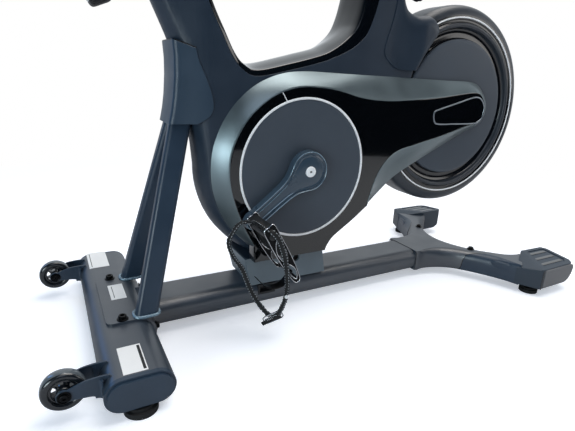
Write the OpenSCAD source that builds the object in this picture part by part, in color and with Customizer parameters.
// Indoor exercise bike with a rear flywheel, a belt drive and a four-point base.
// Lengths are in millimetres. The bike faces -X, its left side is -Y, and Z = 0 is the floor.
// The sub-parts are laid out from the crank axle at X = 0 and then moved together, so that
// the origin is at the middle of the base on the floor.

/* [Base] */
// Width of the main beam and depth of the front stabilizer
beam_w = 120; // [110:1:130]
// Height of the main beam
beam_h = 60; // [54:1:64]
// Height of the underside of the base above the floor
ground_gap = 20; // [18:1:24]
// Half length of the front stabilizer, caps included
front_half = 292; // [285:1:300]
// Half width of the rear stabilizer, covers included
rear_half = 305; // [302:1:312]
// Rearmost point of the base, from the crank axle
rear_x = 785; // [780:1:795]
// Radius of a transport wheel
wheel_r = 36; // [34:1:38]

/* [Drive] */
// Height of the crank axle above the floor
crank_z = 361; // [358:1:364]
// Distance from the crank axle to the pedal spindle
crank_len = 170; // [165:1:175]
// Angle of the left crank arm in the side view
crank_angle = 217; // [210:1:225]
// Outer radius of the flywheel
flywheel_r = 262; // [255:1:264]
// Half width of the flywheel
flywheel_half = 53; // [50:1:54]
// Radius of the round cover inside the white ring
disc_r = 155; // [150:1:157]

/* [Frame] */
// Half width of the moulded frame shells
shell_half = 60; // [59:1:61]
// Lean of the front tube towards the front, from vertical
front_lean = 22.5; // [21:0.5:24]
// Lean of the seat tube towards the rear, from vertical
seat_lean = 15; // [14:0.5:16]

/* [Posts] */
// Width of the flat oval posts, in the side view
post_w = 60; // [56:1:62]
// Thickness of the flat oval posts
post_t = 30; // [28:1:31]
// Half width of the handlebars
bar_half = 235; // [220:1:250]

/* [Hidden] */

$fn = 48;
hair = 0.02;
clear = 0.3;

// base, side view
beam_top = ground_gap + beam_h;
beam_mid = ground_gap + beam_h / 2;
beam_round = 26;
tube_wall = 3;
stab_x = -418;
stab_low = 16;
stab_r = 32;
stab_rear = stab_x + beam_w / 2;
cap_len = 14;
beam_end = 412;
wheel_x = -534;
wheel_y = 239;
wheel_z = 58;
wheel_w = 24;
front_foot_y = 269;
rear_foot_x = 655;
rear_foot_y = 265;
origin_x = -(wheel_x - wheel_r + rear_x) / 2;

// strut plate and struts
plate_t = 5;
plate_half = 112;
strut_base = [-370, 95, beam_top + plate_t];
strut_top = [-265, 18, 467];
strut_w = 44;
strut_t = 28;

// drive
fly_x = 487;
fly_z = 491;
bb_r = 30;
bb_half = 66;
axle_r = 12;
fly_axle_r = 8.5;
stay_in = 61;
stay_out = 65;
pulley_in = 68;
pulley_out = 78;
drive_pulley_r = 60;
small_pulley_r = 15;
slot_r = flywheel_r + 6;
slot_half = flywheel_half + 3;
cover_face = 87;
cover_wall = 3;
shell_wall = 3;
foot_top = 150;
hub_in = 93;
hub_out = 112;
pedal_x = crank_len * cos(crank_angle);
pedal_dz = crank_len * sin(crank_angle);
pedal_z = crank_z + pedal_dz;

// tubes and posts
head = [-298, 800];
seat_top = [232, 850];
handlebar_rise = 235;
seat_rise = 60;

// ---------- curves ----------
function unit(v) = v / norm(v);
function spline_at(a, b, c, d, t) = 0.5 * (2 * b + (c - a) * t
    + (2 * a - 5 * b + 4 * c - d) * t * t + (3 * b - a - 3 * c + d) * t * t * t);
// a smooth open curve through the points p, with n steps between neighbours
function smooth(p, n = 3) = [for (i = [0:len(p) - 2], j = [0:n - 1])
    spline_at(p[max(i - 1, 0)], p[i], p[i + 1], p[min(i + 2, len(p) - 1)], j / n),
    p[len(p) - 1]];
function arc(x, z, r, a0, a1, n) = [for (i = [0:n]) let (a = a0 + (a1 - a0) * i / n)
    [x + r * cos(a), z + r * sin(a)]];
// a clockwise closed outline moved inwards by d
function inset(p, d) = [for (i = [0:len(p) - 1])
    let (t = unit(p[(i + 1) % len(p)] - p[(i + len(p) - 1) % len(p)])) p[i] + d * [t.y, -t.x]];

// ---------- outlines, side view from the crank axle: [x, z] ----------
front_dir = [-sin(front_lean), cos(front_lean)];
front_across = [cos(front_lean), sin(front_lean)];
seat_dir = [sin(seat_lean), cos(seat_lean)];
seat_across = [cos(seat_lean), -sin(seat_lean)];

// the opening between the front tube and the seat tube
u_path = smooth([head + 50 * front_across, [-203, 697], [-178, 645], [-158, 606], [-138, 584],
    [-107, 574], [-30, 590], [33, 606], [68, 618], [102, 638], [131, 664], [147, 694],
    [161, 745], seat_top - 50 * seat_across]);
// seat tube rear edge, the saddle over the flywheel and the guard beside it
guard_path = smooth([seat_top + 51 * seat_across, [266, 770], [262, 735], [282, 714],
    [310, 708], [335, 713], [360, 713], [378, 696], [384, 672], [360, 644], [334, 610],
    [322, 571], [300, 450], [262, 340], [217, 292], [170, 250], [120, 206], [76, foot_top]]);
front_arc = arc(0, crank_z, 232, 232, 178, 9);
head_front = smooth([[-236, 415], [-242, 460], [-250, 520], [-263, 580], [-278, 626],
    [-307, 694], head - 50 * front_across]);
frame_outline = concat(u_path, guard_path, [[-136, foot_top]], front_arc, head_front);

// drive cover: the band's outer edge on the frame and its inner edge on the gloss face
band_outer = smooth([[-128, 187], [-178, 242], [-209, 316], [-213, 388], [-196, 449],
    [-161, 503], [-112, 544], [-55, 567], [6, 574], [100, 572], [190, 570], [272, 568],
    [360, 566], [444, 564], [529, 562], [566, 549], [594, 520], [606, 490], [600, 463],
    [577, 444], [529, 426], [444, 389], [357, 350], [289, 316], [238, 275], [206, 246]]);
band_inner = smooth([[-124, 192], [-154, 250], [-178, 325], [-181, 385], [-165, 437],
    [-134, 483], [-87, 520], [-40, 538], [5, 543], [75, 537], [150, 520], [225, 514],
    [310, 517], [400, 524], [505, 536], [540, 533], [562, 513], [568, 492], [563, 470],
    [548, 453], [500, 444], [417, 422], [333, 404], [262, 385], [214, 335], [188, 252]]);
cover_outline = concat(band_inner, [[150, 223], [117, 201], [90, 182], [76, 164],
    [70, foot_top], [-122, foot_top]]);

// the frame is wide at the drive and narrower at the front tube; seen from above
module width_plan(d) translate([0, 0, 100]) linear_extrude(900) polygon([[-600, -44 - d],
    [-275, -46 - d], [-212, -shell_half - d], [520, -shell_half - d], [520, shell_half + d],
    [-212, shell_half + d], [-275, 46 + d], [-600, 44 + d]]);

// ---------- helpers ----------
module on_floor_plan() translate([origin_x, 0, 0]) children();
// a side view outline as a plate between two Y positions
module plate(y0, y1) translate([0, y1, 0]) rotate([90, 0, 0]) linear_extrude(y1 - y0) children();
module disc(x, z, r, y0, y1) plate(y0, y1) translate([x, z]) circle(r);
module both_sides() {
    children();
    mirror([0, 1, 0]) children();
}
module along(p, lean) translate([p.x, 0, p.y]) rotate([0, lean, 0]) children();
module stadium(w, t) {
    square([w - t, t], center = true);
    for (s = [-1, 1]) translate([s * (w - t) / 2, 0]) circle(t / 2);
}
module round_rect(w, h, r) {
    square([w - 2 * r, h], center = true);
    square([w, h - 2 * r], center = true);
    for (i = [-1, 1], j = [-1, 1]) translate([i * (w / 2 - r), j * (h / 2 - r)]) circle(r);
}
// a bar of width 2 r1 at p1 and 2 r2 at p2, in the plane of the outline
module link(p1, r1, p2, r2) {
    d = unit(p2 - p1);
    n = [-d.y, d.x];
    lean_in = (r1 - r2) / norm(p2 - p1);
    side = sqrt(1 - lean_in * lean_in);
    up = side * n + lean_in * d;
    dn = -side * n + lean_in * d;
    translate(p1) circle(r1);
    translate(p2) circle(r2);
    polygon([p1 + r1 * up, p2 + r2 * up, p2 + r2 * dn, p1 + r1 * dn]);
}
// a closed or open band swept along points: rows of ring points joined side by side
module swept(rings, closed = false) {
    n = len(rings);
    m = len(rings[0]);
    last = closed ? n - 1 : n - 2;
    sides = [for (i = [0:last], j = [0:m - 1])
        let (a = i * m + j, b = i * m + (j + 1) % m, c = ((i + 1) % n) * m)
        each [[a, b, c + (j + 1) % m], [a, c + (j + 1) % m, c + j]]];
    ends = closed ? [] : [[for (j = [m - 1:-1:0]) j], [for (j = [0:m - 1]) (n - 1) * m + j]];
    polyhedron(points = [for (r = rings) each r], faces = concat(sides, ends), convexity = 6);
}
function tangent_at(p, i, closed) = unit(closed
    ? p[(i + 1) % len(p)] - p[(i + len(p) - 1) % len(p)]
    : p[min(i + 1, len(p) - 1)] - p[max(i - 1, 0)]);

// ---------- base ----------
module beam_profile(extra = 0) rotate([90, 0, 90]) linear_extrude(900)
    round_rect(beam_w + 2 * extra, beam_h + 2 * extra, beam_round + extra);

module front_stab_profile(extra) translate([stab_x, stab_low + stab_r])
    round_rect(beam_w + 2 * extra, 2 * stab_r + 2 * extra, stab_r + extra - hair);

inlet_x0 = -100;
inlet_x1 = -54;
inlet_z0 = 50;
inlet_z1 = 76;
inlet_depth = 22;
module inlet_block(shrink = 0) translate([inlet_x0 + shrink, -beam_w / 2 - 0.5, inlet_z0 + shrink])
    cube([inlet_x1 - inlet_x0 - 2 * shrink, inlet_depth, inlet_z1 - inlet_z0 - 2 * shrink]);

module main_beam() on_floor_plan() color("dimgray") difference() {
    translate([-400, 0, beam_mid]) intersection() {
        beam_profile();
        translate([0, -200, -200]) cube([beam_end + 400, 400, 400]);
    }
    translate([-401, 0, beam_mid]) rotate([90, 0, 90]) linear_extrude(900)
        round_rect(beam_w - 2 * tube_wall, beam_h - 2 * tube_wall, beam_round - tube_wall);
    plate(-200, 200) front_stab_profile(plate_t);
    inlet_block();
}

module power_inlet() on_floor_plan() color("black") difference() {
    inlet_block();
    translate([inlet_x0 + 5, -beam_w / 2 - 1, inlet_z0 + 5])
        cube([inlet_x1 - inlet_x0 - 10, 13, inlet_z1 - inlet_z0 - 10]);
    translate([(inlet_x0 + inlet_x1) / 2, 0, (inlet_z0 + inlet_z1) / 2]) rotate([90, 0, 0])
        cylinder(r = 2.8, h = beam_w);
}

module front_stabilizer() on_floor_plan() color("dimgray") difference() {
    plate(-front_half + cap_len, front_half - cap_len) front_stab_profile(0);
    plate(-front_half, front_half) front_stab_profile(-tube_wall);
    for (s = [-1, 1]) translate([stab_x, s * front_foot_y, 0]) cylinder(r = 5, h = 30);
    for (s = [-1, 1]) translate([stab_x, s * 100, 60]) cylinder(r = 5, h = 40);
}

module front_end_caps() on_floor_plan() color("#2b333b") both_sides() difference() {
    union() {
        plate(-front_half + 5, -front_half + cap_len) front_stab_profile(0);
        plate(-front_half, -front_half + 5) front_stab_profile(-5);
        plate(-front_half + cap_len, -front_half + cap_len + 10) front_stab_profile(-tube_wall - hair);
    }
    plate(-front_half + 8, -front_half + cap_len + 11) front_stab_profile(-tube_wall - 3);
    translate([stab_x, -front_foot_y, 0]) cylinder(r = 5, h = 30);
}

module front_feet() on_floor_plan() color("#15181a") for (s = [-1, 1])
    translate([stab_x, s * front_foot_y, 0]) {
        cylinder(r = 30, h = 10);
        translate([0, 0, 10]) cylinder(r = 24, h = stab_low - 10);
        translate([0, 0, stab_low]) cylinder(r = 5, h = 12);
    }

fork_y = 20;
fork_t = 4;
module wheel_forks() on_floor_plan() color("#2e3840") for (s = [-1, 1], k = [-1, 1])
    translate([0, s * wheel_y + k * fork_y, 0]) difference() {
        plate(-fork_t / 2, fork_t / 2) difference() {
            union() {
                translate([wheel_x, wheel_z]) circle(21);
                polygon([[wheel_x - 4, wheel_z + 20.6], [wheel_x + 22, wheel_z + 27],
                    [-462, 78], [-462, 30], [wheel_x + 34, 34], [wheel_x + 10, wheel_z - 18.4]]);
            }
            front_stab_profile(0);
        }
        disc(wheel_x, wheel_z, 4.05, -10, 10);
    }

module wheel_bolts() on_floor_plan() color("silver") for (s = [-1, 1])
    translate([0, s * wheel_y, 0]) {
        disc(wheel_x, wheel_z, 4, -fork_y - 2 - 5, fork_y + 2 + 5);
        for (k = [-1, 1]) translate([0, k * (fork_y + 2 + 2.5), 0]) plate(-2.5, 2.5)
            translate([wheel_x, wheel_z]) circle(r = 7.5, $fn = 6);
    }

module wheel_tyre(s) on_floor_plan() color("#22262a") translate([wheel_x, s * wheel_y, wheel_z])
    rotate([90, 0, 0]) rotate_extrude() polygon(concat([[24, -8], [28, -11]],
        [for (a = [-60:20:60]) [22 + 2 + (wheel_r - 24) * cos(a) , 12 * sin(a)]],
        [[28, 11], [24, 8]]));
module wheel_hub(s) on_floor_plan() color("#3b4147") translate([wheel_x, s * wheel_y, wheel_z])
    difference() {
        rotate([90, 0, 0]) rotate_extrude() polygon([[4.05, -13], [11, -13], [11, -6], [24, -6],
            [24, 6], [11, 6], [11, 13], [4.05, 13]]);
        for (a = [0:60:300]) rotate([0, a, 0]) translate([17, 0, 0]) rotate([90, 0, 0])
            cylinder(r = 3.6, h = 40, center = true);
    }
module left_wheel_tyre() wheel_tyre(-1);
module right_wheel_tyre() wheel_tyre(1);
module left_wheel_hub() wheel_hub(-1);
module right_wheel_hub() wheel_hub(1);

module strut_plate() on_floor_plan() color("#4a5056") difference() {
    intersection() {
        plate(-plate_half, plate_half) difference() {
            front_stab_profile(plate_t);
            front_stab_profile(0);
        }
        translate([-400, 0, 40]) linear_extrude(60) round_rect(100, 2 * plate_half, 15);
    }
    for (s = [-1, 1]) translate([stab_x, s * 100, 60]) cylinder(r = 5, h = 40);
}

strut_dir = unit(strut_top - strut_base);
strut_yaw = atan2(strut_dir.y, strut_dir.x);
strut_tilt = acos(strut_dir.z);
module front_struts() on_floor_plan() color("#2f3b46") both_sides() intersection() {
    translate([strut_base.x, -strut_base.y, strut_base.z]) rotate([0, 0, -strut_yaw])
        rotate([0, strut_tilt, 0]) rotate([0, 0, strut_yaw]) translate([0, 0, -40])
        linear_extrude(520) difference() {
            round_rect(strut_w, strut_t, 9);
            round_rect(strut_w - 5, strut_t - 5, 6.5);
        }
    translate([-500, -300, strut_base.z]) cube([400, 300, strut_top.z - strut_base.z]);
}

// half plan of the rear stabilizer: front edge, cover and rear edge
arm_front = smooth([[450, 62], [490, 75], [525, 98], [552, 130], [577, 170], [598, 210],
    [616, 251]], 2);
arm_rear = smooth([[700, 197], [668, 178], [635, 146], [604, 110], [583, 70], [571, 35],
    [567, 0]], 2);
half_plan = concat([[beam_end, beam_w / 2]], arm_front, [[645, rear_half], [760, rear_half],
    [rear_x, 292], [rear_x, 216], [774, 204]], arm_rear);
rear_plan = concat(half_plan, [for (i = [len(half_plan) - 2:-1:0]) [half_plan[i].x, -half_plan[i].y]]);
cover_start = 132;
rear_bolt_x = 582;
rear_bolt_y = 110;
module rear_slab(z0, z1, d) translate([0, 0, z0]) linear_extrude(z1 - z0) polygon(inset(rear_plan, d));
module rear_core(d) intersection() {
    rear_slab(ground_gap + 6 - d, beam_top - 6 + d, 8 - d);
    translate([0, -280, 0]) cube([720, 560, 200]);
}
module outer_ends(a, b) for (s = [-1, 1]) translate([300, s > 0 ? a : -b, -50]) cube([600, b - a, 300]);

module rear_stabilizer() on_floor_plan() color("dimgray") difference() {
    union() {
        difference() {
            union() {
                rear_slab(ground_gap + 8, beam_top - 8, 0);
                rear_slab(ground_gap, beam_top, 8);
            }
            outer_ends(cover_start, 400);
        }
        rear_core(0);
    }
    // hollow underneath, up to the feet
    intersection() {
        rear_slab(ground_gap - 1, beam_top - 12, 14);
        translate([0, -240, 0]) cube([720, 480, 100]);
    }
    for (s = [-1, 1]) translate([rear_foot_x, s * rear_foot_y, 0]) cylinder(r = 5.05, h = 45);
    for (s = [-1, 1]) translate([rear_bolt_x, s * rear_bolt_y, 60]) cylinder(r = 5, h = 40);
}

module rear_covers() on_floor_plan() color("#323c46") difference() {
    intersection() {
        union() {
            rear_slab(ground_gap + 8, beam_top - 8, 0);
            rear_slab(ground_gap, beam_top, 8);
            // the block at the end reaches a little lower and rises to a wedge
            for (s = [-1, 1]) translate([0, 0, stab_low]) linear_extrude(62)
                polygon([for (p = [[616, 251], [645, rear_half], [760, rear_half],
                    [rear_x, 292], [rear_x, 216], [774, 204], [690, 200]]) [p.x, s * p.y]]);
        }
        outer_ends(cover_start, 400);
    }
    rear_core(hair);
    for (s = [-1, 1]) translate([rear_foot_x, s * rear_foot_y, 0]) cylinder(r = 8, h = 27);
    // lower rear corner cut away at a slope
    for (s = [-1, 1]) translate([rear_x - 40, s * 250, stab_low - 30]) rotate([0, -35, 0])
        cube([90, 200, 30], center = true);
}

module rear_foot(s) on_floor_plan() color("#15181a") translate([rear_foot_x, s * rear_foot_y, 0]) {
    cylinder(r = 24, h = 9);
    translate([0, 0, 9]) cylinder(r = 18, h = 4);
    translate([0, 0, 13]) cylinder(r = 5, h = 30);
}
module left_rear_foot() rear_foot(-1);
module right_rear_foot() rear_foot(1);

module bolt_z(x, y, z, r, h, shank) translate([x, y, z]) {
    cylinder(r = r, h = h, $fn = 6);
    translate([0, 0, -shank]) cylinder(r = 5, h = shank);
}
module frame_bolts() on_floor_plan() color("#1b1d20") {
    for (s = [-1, 1]) {
        bolt_z(stab_x, s * 100, beam_top + plate_t, 8.5, 6, 16);
        bolt_z(rear_bolt_x, s * rear_bolt_y, beam_top, 8, 6, 12);
        translate([stab_rear + plate_t, s * 96, 52]) rotate([0, 90, 0]) cylinder(r = 7.5, h = 6, $fn = 6);
        disc(2, 132, 7, s > 0 ? 50 : -59, s > 0 ? 59 : -50);
    }
}

// ---------- frame ----------
module frame_foot() on_floor_plan() color("#39424c") difference() {
    plate(-62, 62) polygon([[-119, beam_top], [-136, foot_top], [76, foot_top], [88, beam_top]]);
    for (s = [-1, 1]) disc(2, 132, 9, s > 0 ? 50 : -70, s > 0 ? 70 : -50);
    for (x = [-90, 50]) translate([x, 0, beam_top + 12]) cylinder(r = 9, h = 80);
}

tube_w = post_w + 14;
tube_t = post_t + 14;
bore_w = post_w + 8;
bore_t = post_t + 8;
module front_tube(w, t, z0, z1) along(head, -front_lean) translate([0, 0, z0])
    linear_extrude(z1 - z0) stadium(w, t);
module seat_tube(w, t, z0, z1) along(seat_top, seat_lean) translate([0, 0, z0])
    linear_extrude(z1 - z0) stadium(w, t);

brake_pivot = [236, 636];
knob_front_s = 52;
knob_seat_s = 36;
lug_low = strut_top.z;
lug_high = 545;
// the knobs' sleeves stand out of the tubes
module knob_line(lean, p, s) along(p, lean) translate([0, 0, -s]) rotate([0, 90, 0]) children();
module front_knob_line() knob_line(-front_lean, head, knob_front_s)
    mirror([0, 0, 1]) children();
module seat_knob_line() knob_line(seat_lean, seat_top, knob_seat_s) children();
sleeve_r = 14;
sleeve_in = 36;
sleeve_out = 66;
module steel_frame() on_floor_plan() color("#50565c") difference() {
    union() {
        intersection() {
            union() {
                front_tube(tube_w, tube_t, -760, 0);
                seat_tube(tube_w, tube_t, -760, 0);
            }
            translate([-500, -100, foot_top]) cube([1000, 200, 900]);
        }
        plate(-18, 18) polygon([[-125, 335], [100, 335], [112, 387], [-136, 387]]);
        disc(0, crank_z, bb_r, -bb_half, bb_half);
        both_sides() {
            plate(-stay_out, -stay_in) link([0, crank_z], 42, [fly_x, fly_z], 24);
            disc(fly_x, fly_z, 22, -stay_out - 1.5, -stay_in);
        }
        difference() {
            plate(-34, 34) polygon([[-287, lug_low], [-200, lug_low], [-200, lug_high], [-268, lug_high]]);
            plate(-30, 30) polygon([[-281, lug_low + 5], [-199, lug_low + 5], [-199, 600], [-262, 600]]);
        }
        front_knob_line() translate([0, 0, sleeve_in]) cylinder(r = sleeve_r, h = sleeve_out - sleeve_in);
        seat_knob_line() translate([0, 0, sleeve_in]) cylinder(r = sleeve_r, h = sleeve_out - sleeve_in);
        // ears that hold the brake carrier's pivot pin, and the motor's seat
        both_sides() plate(-50, -46) polygon([[178, 600], [182, 660], [236, 650], [246, 636], [236, 622]]);
        plate(-50, 50) polygon([[170, 610], [196, 610], [200, 652], [174, 652]]);
    }
    front_tube(bore_w, bore_t, -690, 1);
    seat_tube(bore_w, bore_t, -710, 1);
    disc(0, crank_z, 22, -bb_half - 1, bb_half + 1);
    both_sides() disc(fly_x, fly_z, 17.5, -stay_out - 2, -stay_in + 1);
    front_knob_line() translate([0, 0, 27]) cylinder(r = 8.05, h = 40);
    seat_knob_line() translate([0, 0, 27]) cylinder(r = 8.05, h = 40);
    disc(brake_pivot.x, brake_pivot.y, 5, -60, 60);
}

// a shell half, stepped in towards its face so that its edge is bevelled
module shell_solid(d) intersection() {
    union() {
        plate(-44 + d, 0) polygon(inset(frame_outline, d));
        plate(-53 + d, -43 + d) polygon(inset(frame_outline, d + 3.5));
        plate(-shell_half + d, -52 + d) polygon(inset(frame_outline, d + 11));
    }
    width_plan(-d);
}
module tube_envelopes() {
    front_tube(tube_w + 1, tube_t + 1, -720, 30);
    seat_tube(tube_w + 1, tube_t + 1, -720, 30);
}
module frame_shell() difference() {
    shell_solid(0);
    translate([0, hair, 0]) shell_solid(shell_wall);
    tube_envelopes();
    disc(fly_x, fly_z, slot_r, -slot_half, 10);
    disc(0, crank_z, bb_r + 0.5, -70, 10);
    // room for the head lug, the foot and the two knob sleeves
    translate([-340, -35, lug_low - 2]) cube([150, 40, lug_high - lug_low + 4]);
    translate([-124, -50, 140]) cube([190, 60, 20]);
    front_knob_line() translate([0, 0, 30]) cylinder(r = sleeve_r + clear, h = 60);
    seat_knob_line() translate([0, 0, 30]) cylinder(r = sleeve_r + clear, h = 60);
}
module left_frame_shell() on_floor_plan() color("#303e4c") frame_shell();
module right_frame_shell() on_floor_plan() color("#303e4c") mirror([0, 1, 0]) frame_shell();

// a glossy strip that lines the opening of the frame, between the two shells
trim_t = 3;
module frame_trim() on_floor_plan() color("#0c1118") plate(-40, 40) polygon(concat(
    [for (i = [1:len(u_path) - 2]) u_path[i]],
    [for (i = [len(u_path) - 2:-1:1])
        let (t = unit(u_path[i + 1] - u_path[i - 1])) u_path[i] - trim_t * [t.y, -t.x]]));

head_outline = smooth([[-294, 465], [-283, 520], [-278, 560], [-277, 592], [-282, 623],
    [-236, 608], [-221, 567], [-210, 533], [-206, 504], [-212, 488], [-238, 463]]);
module head_cover() on_floor_plan() color("#34424f") difference() {
    intersection() {
        plate(-80, 80) polygon(head_outline);
        width_plan(4);
    }
    intersection() {
        plate(-80, 80) polygon(frame_outline);
        width_plan(0);
    }
    intersection() {
        plate(-80, 80) polygon(inset(head_outline, 3.5));
        width_plan(0.6);
    }
    translate([-290.5, -45, 440]) cube([49, 90, 50]);
}

module silver_bezels() on_floor_plan() color("#8d97a3") both_sides() swept(
    [for (i = [0:len(band_outer) - 1]) [[band_outer[i].x, -shell_half, band_outer[i].y],
        [band_inner[i].x, -cover_face, band_inner[i].y],
        [band_inner[i].x, -shell_half, band_inner[i].y]]]);

module drive_covers() on_floor_plan() color("#0d1114") both_sides() difference() {
    plate(-cover_face, -shell_half) polygon(cover_outline);
    difference() {
        plate(-cover_face + cover_wall, -shell_half + 1) polygon(inset(cover_outline, cover_wall));
        // the nose has a back wall on the flywheel side
        translate([325, -stay_in, 300]) cube([300, 10, 300]);
    }
    disc(0, crank_z, disc_r + 5, -cover_face - 1, -cover_face + cover_wall + 1);
    disc(fly_x, fly_z, 24, -70, -50);
}
module disc_covers() on_floor_plan() color("#3a4048") both_sides() difference() {
    disc(0, crank_z, disc_r, -cover_face - 1, -cover_face + cover_wall);
    disc(0, crank_z, 16, -100, -50);
}
module ring_trims() on_floor_plan() color("white") both_sides() difference() {
    disc(0, crank_z, disc_r + 4.8, -cover_face - 1.5, -cover_face + cover_wall);
    disc(0, crank_z, disc_r + 0.1, -100, -50);
}

// V-shaped trim on the drive cover's nose
badge_outline = smooth([[376, 480], [390, 490], [470, 512], [528, 524], [552, 512], [561, 492],
    [552, 470], [528, 459], [460, 455], [392, 454], [374, 462], [372, 473]], 2);
module axle_badges() on_floor_plan() color("#9aa3ad") both_sides()
    plate(-cover_face - 2.5, -cover_face) difference() {
        polygon(badge_outline);
        polygon([[392, 472], [470, 503], [520, 513], [543, 505], [551, 491], [543, 476], [520, 468], [400, 464]]);
    }

guard_outline = smooth([[236, 690], [252, 702], [290, 696], [330, 700], [362, 684], [372, 670],
    [344, 640], [322, 606], [310, 590], [260, 590], [240, 596], [230, 610], [226, 640],
    [230, 668]], 2);
module flywheel_guards() on_floor_plan() color("#34424f") both_sides()
    plate(-shell_half - 2, -shell_half) difference() {
        polygon(guard_outline);
        translate([250, 604]) circle(3);
    }

module bearings() on_floor_plan() color("silver") both_sides() {
    difference() {
        disc(0, crank_z, 22, -bb_half, -bb_half + 12);
        disc(0, crank_z, axle_r + 0.05, -100, 0);
    }
    difference() {
        disc(fly_x, fly_z, 17.5, -stay_out - 1.5, -stay_in);
        disc(fly_x, fly_z, fly_axle_r + 0.05, -100, 0);
    }
}

// the belt's path at a distance from both pulleys
function belt_outline(gap) = let (r1 = drive_pulley_r + gap, r2 = small_pulley_r + gap,
    line = [fly_x, fly_z - crank_z], a0 = atan2(line.y, line.x), b = acos((r1 - r2) / norm(line)))
    concat(arc(0, crank_z, r1, a0 + b, a0 + 360 - b, 48), arc(fly_x, fly_z, r2, a0 - b, a0 + b, 16));
module drive_belt() on_floor_plan() color("#151515") plate(pulley_in + 1, pulley_out - 1) difference() {
    polygon(belt_outline(3));
    polygon(belt_outline(clear));
}

module brake_motor() on_floor_plan() color("#23282d") difference() {
    translate([118, -28, 292]) cube([62, 56, 56]);
    seat_tube(tube_w, tube_t, -760, 0);
}

module post_sleeves() on_floor_plan() color("#1a1d20") {
    difference() {
        union() {
            front_tube(bore_w, bore_t, -120, 1);
            front_tube(tube_w + 6, tube_t + 6, 0.5, 9);
        }
        front_tube(post_w + 2 * clear, post_t + 2 * clear, -130, 20);
        front_knob_line() translate([0, 0, 27]) cylinder(r = 8.05, h = 40);
    }
    difference() {
        union() {
            seat_tube(bore_w, bore_t, -120, 1);
            seat_tube(tube_w + 6, tube_t + 6, 0.5, 9);
        }
        seat_tube(post_w + 2 * clear, post_t + 2 * clear, -130, 20);
        seat_knob_line() translate([0, 0, 27]) cylinder(r = 8.05, h = 40);
    }
}

// ---------- flywheel ----------
face_r = 178;
module turned(x, z, points) translate([x, 0, z]) rotate([90, 0, 0]) rotate_extrude($fn = 72) polygon(points);
// a radius and half width profile, mirrored to the other side
function two_sided(p) = concat(p, [for (i = [len(p) - 1:-1:0]) [p[i].x, -p[i].y]]);
// hub, web and hollow rim, then the rim's outer face from the groove to the tread
module flywheel() on_floor_plan() color("#2b2f33") turned(fly_x, fly_z, two_sided(
    [[fly_axle_r, 46], [30, 46], [34, 7], [246, 7], [246, 38], [238, 43], [210, 43], [202, 33],
    [176, 33], [176, 46], [182, 38], [203, 38], [206, flywheel_half], [216, flywheel_half],
    [220, 48], [227, 48], [228, 51], [240, 51], [252, 47], [259, 41], [flywheel_r, 34]]));
module flywheel_faces() on_floor_plan() color("#3d4248") both_sides() translate([fly_x, 0, fly_z])
    rotate([90, 0, 0]) rotate_extrude($fn = 72) polygon([[16, 46.2], [176, 46.2], [180, 50],
    [180, 52], [178, flywheel_half], [16, flywheel_half]]);
module flywheel_rings() on_floor_plan() color("white") both_sides() translate([fly_x, 0, fly_z])
    rotate([90, 0, 0]) rotate_extrude($fn = 72) polygon([[229, 51], [232.5, 51], [232.5, 52.2], [229, 52.2]]);
module flywheel_axle() on_floor_plan() color("silver")
    disc(fly_x, fly_z, fly_axle_r, -stay_out - 9, pulley_out + 3);
module flywheel_pulley() on_floor_plan() color("#6d747b") difference() {
    disc(fly_x, fly_z, small_pulley_r, pulley_in, pulley_out);
    disc(fly_x, fly_z, fly_axle_r, 0, 100);
}
module brake_carrier() on_floor_plan() color("#7b8288") {
    difference() {
        union() {
            plate(-40, 40) difference() {
                intersection() {
                    translate([fly_x, fly_z]) circle(flywheel_r + 20);
                    polygon([[fly_x, fly_z], [150, 640], [110, 500], [190, 380]]);
                }
                translate([fly_x, fly_z]) circle(flywheel_r + 7);
            }
            disc(brake_pivot.x, brake_pivot.y, 10, -44, 44);
        }
        disc(fly_x, fly_z, flywheel_r + 7, -60, 60);
    }
    disc(brake_pivot.x, brake_pivot.y, 4.95, -50, 50);
}

// ---------- crankset and pedals ----------
module crank_axle() on_floor_plan() color("silver") {
    disc(0, crank_z, axle_r, -hub_out + 2, hub_out - 2);
    for (s = [-1, 1]) disc(0, crank_z, 8, s > 0 ? hub_out - 2 : -hub_out - 2, s > 0 ? hub_out + 2 : -hub_out + 2);
}
module drive_pulley() on_floor_plan() color("#6d747b") difference() {
    union() {
        disc(0, crank_z, drive_pulley_r, pulley_in, pulley_out);
        disc(0, crank_z, 24, bb_half + 1, pulley_out + 3);
    }
    disc(0, crank_z, axle_r, 0, 100);
    for (a = [0:60:300]) disc(40 * cos(a), crank_z + 40 * sin(a), 11, 60, 90);
}
module crank_arm() difference() {
    union() {
        disc(0, crank_z, 43, -hub_out + 2, -hub_in);
        disc(0, crank_z, 36, -hub_out, -hub_out + 3);
        plate(-hub_out, -hub_in - 4) link([0, crank_z], 26, [pedal_x, pedal_z], 15);
        plate(-hub_out + 3, -hub_in - 4) link([0, crank_z], 34, [pedal_x, pedal_z], 18);
        disc(pedal_x, pedal_z, 18, -hub_out - 1, -hub_in - 3);
    }
    disc(0, crank_z, axle_r, -200, 0);
    disc(0, crank_z, 14, -200, -hub_out + 2);
    disc(pedal_x, pedal_z, 7, -200, 0);
}
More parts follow.
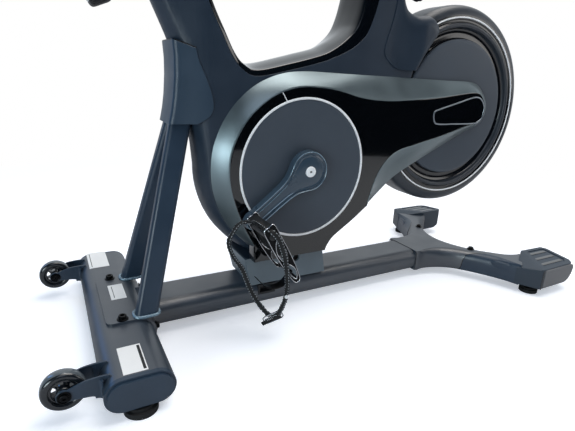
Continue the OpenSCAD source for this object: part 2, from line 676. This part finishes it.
// the right pedal sits half a turn away, and both pedals hang the same way up
module to_right_pedal() translate([-2 * pedal_x, 0, -2 * pedal_dz]) mirror([0, 1, 0]) children();
module crank_arms() on_floor_plan() color("#2c353e") {
    crank_arm();
    translate([0, 0, crank_z]) rotate([0, 180, 0]) translate([0, 0, -crank_z]) mirror([0, 1, 0]) crank_arm();
}
module pedal_spindle() {
    disc(pedal_x, pedal_z, 7, -hub_out - 1, -hub_in - 3);
    disc(pedal_x, pedal_z, 9, -hub_out - 4, -hub_out - 1);
    disc(pedal_x, pedal_z, 5, -203, -hub_out - 4);
}
module pedal_spindles() on_floor_plan() color("silver") {
    pedal_spindle();
    to_right_pedal() pedal_spindle();
}

// pedal in its own axes: length to the front, thickness to the sole, then hung nose down
pedal_turn = 118;
pedal_in = 121;
pedal_out = 205;
module in_pedal() translate([pedal_x, 0, pedal_z]) rotate([0, -pedal_turn, 0]) children();
module pedal_body() on_floor_plan() in_pedal() difference() {
    union() {
        plate(-pedal_out, -pedal_in) circle(12);
        // front and rear rails and the two end cheeks
        plate(-pedal_out, -pedal_in) translate([-46, -9]) square([16, 18]);
        plate(-pedal_out, -pedal_in) translate([11, -9]) square([11, 18]);
        for (y = [-pedal_out, -pedal_in - 9]) plate(y, y + 9) translate([-46, -9]) square([68, 18]);
    }
    plate(-300, -100) circle(5.04);
}
// an oval of half axes a and b
module oval(x, z, a, b) polygon([for (i = [0:19]) [x + a * cos(18 * i), z + b * sin(18 * i)]]);
cage_t = 2;
cage_outline = smooth([[22, -13], [22, 12], [-40, 13], [-88, 10], [-122, 4], [-127, -3], [-120, -9],
    [-88, -13], [-40, -14], [22, -13]], 2);
clip_line = smooth([[-121, -8], [-134, 6], [-138, 24], [-130, 44], [-112, 58], [-88, 64]]);
// steel side plates with two openings each, a front bar and the clip that curves over the toes
module toe_cage() on_floor_plan() in_pedal() {
    for (y = [-pedal_out - cage_t, -pedal_in]) plate(y, y + cage_t) difference() {
        polygon([for (i = [0:len(cage_outline) - 2]) cage_outline[i]]);
        circle(6);
        oval(-46, 0, 24, 8);
        oval(-97, -2, 17, 6);
    }
    plate(-pedal_out, -pedal_in) oval(-120, -4, 3.5, 3.5);
    plate(-176, -150) polygon(concat(clip_line, [for (i = [len(clip_line) - 1:-1:0])
        let (t = tangent_at(clip_line, i, false)) clip_line[i] + 2.5 * [t.y, -t.x]]));
}
module left_pedal() color("#202427") pedal_body();
module right_pedal() color("#202427") to_right() pedal_body();
module to_right() on_floor_plan() to_right_pedal() translate([-origin_x, 0, 0]) children();

// the strap's loop hangs under the pedal; points are [x, y, z] beside the left crank
strap_points = [[-150, -128, 292], [-168, -117, 281], [-188, -119, 250], [-198, -120, 222],
    [-187, -120, 190], [-168, -121, 160], [-157, -124, 128], [-146, -130, 98], [-130, -140, 68],
    [-115, -156, 48], [-104, -176, 62], [-100, -196, 100], [-101, -208, 138], [-105, -212, 175],
    [-111, -213, 210], [-120, -214, 245], [-131, -215, 276], [-142, -203, 298], [-147, -162, 301]];
strap_w = 18;
strap_t = 2.6;
strap_lay = [1, 0, 0];
module toe_strap() on_floor_plan() swept([for (i = [0:len(strap_points) - 1])
    let (p = strap_points[i], t = tangent_at(strap_points, i, true),
        w = unit(strap_lay - (strap_lay * t) * t) * strap_w / 2,
        n = unit(cross(t, w)) * strap_t / 2) [p + w + n, p + w - n, p - w - n, p - w + n]], true);
module left_toe_strap() color("#191919") toe_strap();
module right_toe_strap() color("#191919") to_right() toe_strap();
module left_toe_cage() color("#9b9fa3") toe_cage();
module right_toe_cage() color("#9b9fa3") to_right() toe_cage();

// ---------- handlebars ----------
bar_r = 15;
bar_mid = head + (handlebar_rise + 24) * front_dir;
bar_drop = [8, -6];
console_hinge = bar_mid + [-44, 16];
console_lean = 32;
knob_spot = bar_mid + [-12, 14];
// one side of the bars, from the middle to the tip of the horn, from bar_mid
bar_side = [[8, 0, -6], [8, 45, -6], [8, 95, -6], [0, 150, -4], [-28, 205, 4], [-74, bar_half - 17, 14],
    [-116, bar_half - 20, 26], [-136, bar_half - 38, 50], [-140, bar_half - 52, 82]];
function bar_line(s) = smooth([for (p = bar_side) [bar_mid.x + p.x, s * p.y, bar_mid.y + p.z]]);
bar_right = bar_line(1);
bar_left = bar_line(-1);
bar_points = concat([for (i = [len(bar_left) - 1:-1:1]) bar_left[i]], bar_right);
// a circle of n points about c, across the direction t
function ring_round(c, t, r, n) = let (u = unit(cross(t, [0, 0.2, 1])), v = cross(t, u))
    [for (k = [0:n - 1]) c + r * (cos(360 * k / n) * u + sin(360 * k / n) * v)];
module handlebars() on_floor_plan() color("#17191b") swept([for (i = [0:len(bar_points) - 1])
    ring_round(bar_points[i], tangent_at(bar_points, i, false), bar_r, 12)]);

post_in = 330;
module handlebar_post() on_floor_plan() color("#3a4046") difference() {
    union() {
        front_tube(post_w, post_t, -post_in, handlebar_rise);
        plate(-34, 34) translate(bar_mid) polygon([[-46, -34], [-50, 0], [-40, 12], [-34, 14],
            [26, 14], [32, -2], [26, -28], [-10, -48]]);
        // ears for the console's hinge
        both_sides() plate(-22, -14) link(bar_mid + [-30, -2], 12, console_hinge, 10);
    }
    // the hollow, index holes down the front, the bars' seat, the knob's bore and the hinge
    front_tube(post_w - 6, post_t - 6, -post_in - 1, handlebar_rise - 30);
    for (z = [0:30:240]) front_knob_line() translate([z, 0, 19]) cylinder(r = 6, h = 12);
    disc(bar_mid.x + bar_drop.x, bar_mid.y + bar_drop.y, bar_r + hair, -40, 40);
    translate([knob_spot.x, 0, knob_spot.y - 9]) cylinder(r = 5.05, h = 20);
    plate(-13.7, 13.7) translate(console_hinge) circle(14);
    disc(console_hinge.x, console_hinge.y, 5.05, -40, 40);
}

module console() on_floor_plan() color("#101214") translate([console_hinge.x, 0, console_hinge.y])
    rotate([0, -console_lean, 0]) {
        disc(0, 0, 5, -24, 24);
        plate(-13.4, 13.4) difference() {
            union() {
                circle(11);
                translate([-14, 0]) square([12, 34]);
            }
            circle(5);
        }
        // housing of the display, with rounded corners
        translate([-18, 0, 104]) rotate([0, 90, 0]) linear_extrude(16) round_rect(160, 250, 12);
        translate([-26, 0, 90]) rotate([0, 90, 0]) linear_extrude(8.5) round_rect(90, 120, 20);
        // lip that a tablet stands on
        translate([-2, -110, 22]) cube([14, 220, 5]);
        translate([9, -110, 27]) cube([3, 220, 8]);
    }

module resistance_knob() on_floor_plan() color("#25292d") translate([knob_spot.x, 0, knob_spot.y]) {
    translate([0, 0, -8]) cylinder(r = 5, h = 10);
    translate([0, 0, 0.5]) difference() {
        cylinder(r = 20, h = 20);
        for (a = [0:30:330]) rotate([0, 0, a]) translate([21.5, 0, -1]) cylinder(r = 3, h = 16);
    }
}

// a knob on a pin that enters its post, from the middle of the tube outwards
grip_in = 116;
grip_len = 38;
module pull_knob() {
    translate([0, 0, 30.8]) cylinder(r = 5.5, h = 5.2);
    translate([0, 0, 36]) cylinder(r = 8, h = grip_in - 40);
    translate([0, 0, grip_in - 4]) cylinder(r = 17, h = 4);
    translate([0, 0, grip_in]) difference() {
        cylinder(r = 26, h = grip_len);
        for (a = [0:45:315]) rotate([0, 0, a]) translate([30, 0, -1]) cylinder(r = 7, h = grip_len - 4);
    }
    translate([0, 0, grip_in + grip_len]) cylinder(r = 22, h = 4);
}
module front_post_knob() on_floor_plan() color("#1b1e21") front_knob_line() pull_knob();
module seat_post_knob() on_floor_plan() color("#1b1e21") seat_knob_line() pull_knob();

// ---------- seat ----------
rail_z = 908;
rail_h = 22;
rail_half = 22;
rail_x0 = 150;
rail_x1 = 345;
carriage_x0 = 192;
carriage_x1 = 302;
saddle_z = 962;
module seat_post() on_floor_plan() color("#3a4046") {
    difference() {
        intersection() {
            seat_tube(post_w, post_t, -380, seat_rise + 30);
            translate([0, -100, 0]) cube([500, 200, rail_z]);
        }
        seat_tube(post_w - 6, post_t - 6, -381, seat_rise - 20);
        for (z = [0:30:240]) seat_knob_line() translate([z, 0, 19]) cylinder(r = 6, h = 12);
    }
    translate([rail_x0, -rail_half, rail_z]) cube([rail_x1 - rail_x0, 2 * rail_half, rail_h]);
}
module seat_slider() on_floor_plan() color("#2a2e33") difference() {
    union() {
        translate([carriage_x0, -31, rail_z - 5]) cube([carriage_x1 - carriage_x0, 62, rail_h + 17]);
        translate([230, -32, rail_z + rail_h + 12]) cube([36, 64, saddle_z - rail_z - rail_h - 15]);
    }
    translate([0, -rail_half - clear, rail_z - clear]) cube([600, 2 * rail_half + 2 * clear, rail_h + 2 * clear]);
    translate([0, -17, rail_z - 10]) cube([600, 34, 12]);
    for (s = [-1, 1]) translate([0, s * 22, saddle_z - 8]) rotate([0, 90, 0]) cylinder(r = 3.5, h = 600);
}

saddle_half_plan = smooth([[388, 0], [386, 55], [372, 88], [340, 98], [300, 84], [252, 50], [200, 33],
    [145, 25], [124, 17], [118, 0]], 3);
saddle_plan = concat([for (i = [len(saddle_half_plan) - 1:-1:0]) saddle_half_plan[i]],
    [for (i = [1:len(saddle_half_plan) - 2]) [saddle_half_plan[i].x, -saddle_half_plan[i].y]]);
module saddle_layer(z0, z1, d) translate([0, 0, z0]) linear_extrude(z1 - z0) polygon(inset(saddle_plan, d));
module saddle_base() on_floor_plan() color("#141618") {
    saddle_layer(saddle_z, saddle_z + 8, 6);
    for (s = [-1, 1]) {
        translate([160, s * 22, saddle_z - 8]) rotate([0, 90, 0]) cylinder(r = 3.5, h = 180);
        for (x = [160, 332]) translate([x, s * 22 - 6, saddle_z - 13]) cube([14, 12, 13]);
    }
}
module saddle_pad() on_floor_plan() color("#1c1d1f") {
    saddle_layer(saddle_z + 8, saddle_z + 36, 0);
    saddle_layer(saddle_z + 36, saddle_z + 48, 12);
}

main_beam();
front_stabilizer();
front_end_caps();
wheel_forks();
strut_plate();
front_struts();
rear_stabilizer();
rear_covers();
front_feet();
frame_bolts();
power_inlet();
frame_foot();
steel_frame();
left_frame_shell();
right_frame_shell();
frame_trim();
head_cover();
silver_bezels();
drive_covers();
disc_covers();
ring_trims();
axle_badges();
flywheel_guards();
bearings();
drive_belt();
brake_motor();
post_sleeves();
wheel_bolts();
flywheel();
flywheel_faces();
flywheel_rings();
flywheel_axle();
flywheel_pulley();
brake_carrier();
crank_axle();
drive_pulley();
crank_arms();
pedal_spindles();
left_pedal();
left_toe_cage();
left_toe_strap();
right_pedal();
right_toe_cage();
right_toe_strap();
left_wheel_tyre();
left_wheel_hub();
right_wheel_tyre();
right_wheel_hub();
left_rear_foot();
right_rear_foot();
handlebar_post();
handlebars();
console();
front_post_knob();
resistance_knob();
seat_post();
seat_slider();
saddle_base();
saddle_pad();
seat_post_knob();
